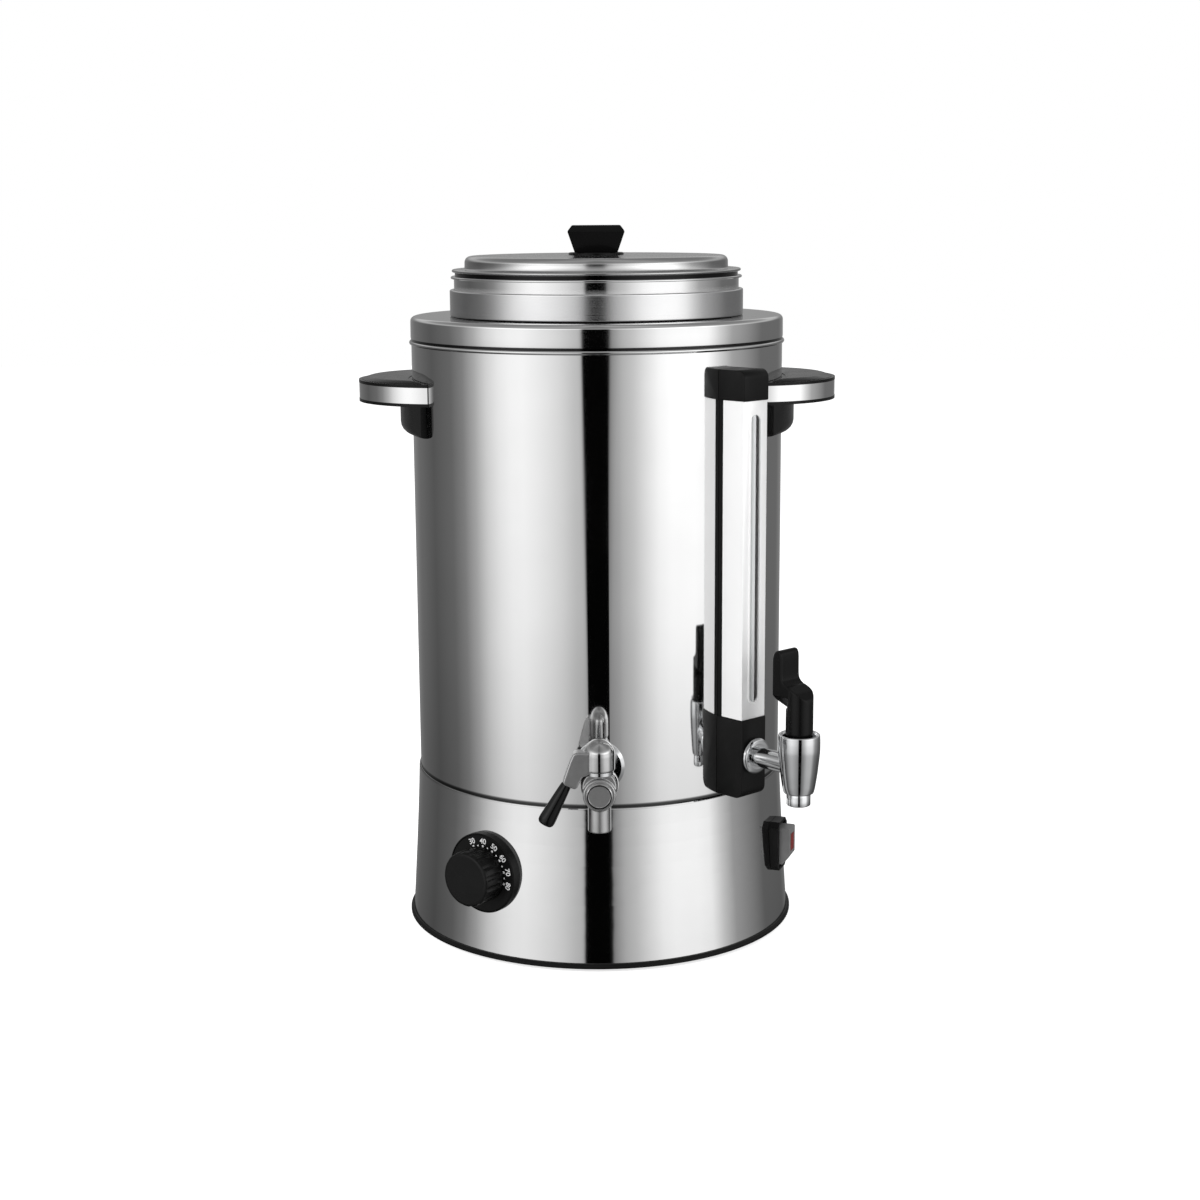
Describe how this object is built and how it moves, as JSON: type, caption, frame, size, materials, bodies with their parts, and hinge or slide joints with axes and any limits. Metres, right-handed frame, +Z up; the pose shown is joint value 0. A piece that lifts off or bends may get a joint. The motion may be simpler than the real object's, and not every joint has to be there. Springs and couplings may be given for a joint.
{
  "type": "milk heater",
  "caption": "Upright double-wall milk heater with a lidded pot in a heated water jacket, level gauge, lever water tap, plug milk tap, thermostat dial and carrying handles.",
  "frame": {"origin": "centre of the round base, on the floor that the rubber feet stand on", "axes": "+Z up; -Y is the front with the milk tap; +X is the user's right, towards the gauge and the water tap"},
  "size_m": [0.387, 0.3803, 0.5718],
  "materials": {
    "mirror_steel": "mirror-polished stainless sheet",
    "satin_steel": "satin stainless sheet with fine turned grain",
    "zinc_steel": "bright zinc-plated steel",
    "chrome_trim": "bright chromed band",
    "chrome_plate": "polished nickel-chrome plate on brass",
    "cast_chrome": "dull plated casting",
    "spring_steel": "drawn stainless wire",
    "brass": "turned brass",
    "copper": "drawn copper",
    "black_plastic": "semi-matt black moulding",
    "black_gloss_plastic": "smooth black moulding",
    "black_bakelite": "black phenolic moulding, satin gloss",
    "grey_plastic": "grey moulded plastic",
    "red_lens": "translucent red window",
    "black_rubber": "moulded rubber",
    "red_silicone": "red silicone",
    "white_silicone": "food-grade silicone",
    "clear_glass": "clear drawn glass tube",
    "mineral_wool": "pressed mineral wool",
    "cream_ceramic": "moulded thermostat body"
  },
  "bodies": {
    "heater": {"base_ring": "black_plastic", "rubber_feet": "black_rubber", "foot_screws": "zinc_steel", "bottom_plate": "satin_steel", "base_skirt": "mirror_steel", "outer_shell": "mirror_steel", "water_tank": "satin_steel", "insulation_jacket": "mineral_wool", "heating_element": "satin_steel", "element_nuts": "brass", "element_seals": "red_silicone", "thermostat_unit": "cream_ceramic", "thermostat_bulb": "copper", "thermostat_screws": "zinc_steel", "dial_plate": "black_plastic", "switch_frame": "black_plastic", "cable_gland": "black_plastic", "top_cover": "satin_steel", "neck_collar": "satin_steel", "milk_pot": "satin_steel", "left_handle": "black_bakelite", "right_handle": "black_bakelite", "left_handle_band": "chrome_trim", "right_handle_band": "chrome_trim", "left_handle_cap": "black_bakelite", "right_handle_cap": "black_bakelite", "shell_bolts": "zinc_steel", "gauge_top_cap": "black_plastic", "gauge_lower_block": "black_plastic", "gauge_cover": "satin_steel", "gauge_back_strip": "black_plastic", "gauge_glass": "clear_glass", "gauge_seals": "red_silicone", "gauge_inlet_pipe": "satin_steel", "water_tap_flange": "chrome_plate", "water_tap_body": "chrome_plate", "water_tap_nozzle": "chrome_plate", "lever_pin": "zinc_steel", "plunger_spring": "spring_steel", "milk_tap_tube": "satin_steel", "milk_tap_flange": "chrome_plate", "milk_tap_body": "chrome_plate", "milk_tap_cap": "cast_chrome", "milk_tap_gland": "chrome_plate"},
    "lid": {"lid_shell": "satin_steel", "lid_knob_disc": "black_bakelite", "lid_knob": "black_bakelite", "lid_screw": "zinc_steel"},
    "milk_lever": {"milk_plug": "chrome_plate", "milk_lever_arm": "cast_chrome", "milk_lever_sleeve": "black_bakelite"},
    "water_lever": {"water_lever": "black_bakelite"},
    "water_plunger": {"water_plunger": "satin_steel", "seat_cup": "white_silicone"},
    "dial": {"dial_shaft": "zinc_steel", "dial_knob": "black_gloss_plastic"},
    "rocker": {"switch_rocker": "grey_plastic", "switch_lens": "red_lens"}
  },
  "joints": [
    {"name": "lid_lift", "type": "slide", "parent": "heater", "child": "lid", "axis": [0, 0, 1], "range_m": [0, 0.25]},
    {"name": "milk_lever_turn", "type": "hinge", "parent": "heater", "child": "milk_lever", "pos_m": [0, -0.199, 0.18], "axis": [0, 0, 1], "range_deg": [0, 90]},
    {"name": "water_lever_tilt", "type": "hinge", "parent": "heater", "child": "water_lever", "pos_m": [0.15277, -0.16382, 0.1875], "axis": [0.7314, 0.682, 0], "range_deg": [0, 20], "stiffness_Nm_per_rad": 0.3},
    {"name": "water_plunger_lift", "type": "slide", "parent": "heater", "child": "water_plunger", "axis": [0, 0, 1], "range_m": [0, 0.0031], "deforming": ["plunger_spring"]},
    {"name": "dial_turn", "type": "hinge", "parent": "heater", "child": "dial", "pos_m": [-0.08817, -0.12135, 0.071], "axis": [0.5878, 0.809, 0], "range_deg": [0, 240]},
    {"name": "rocker_tilt", "type": "hinge", "parent": "heater", "child": "rocker", "pos_m": [0.14344, -0.05506, 0.071], "axis": [-0.3584, -0.9336, 0], "range_deg": [0, 14]}
  ],
  "couplings": [
    {"joint": "water_plunger_lift", "follows": "water_lever_tilt", "m_per_rad": 0.0086}
  ]
}
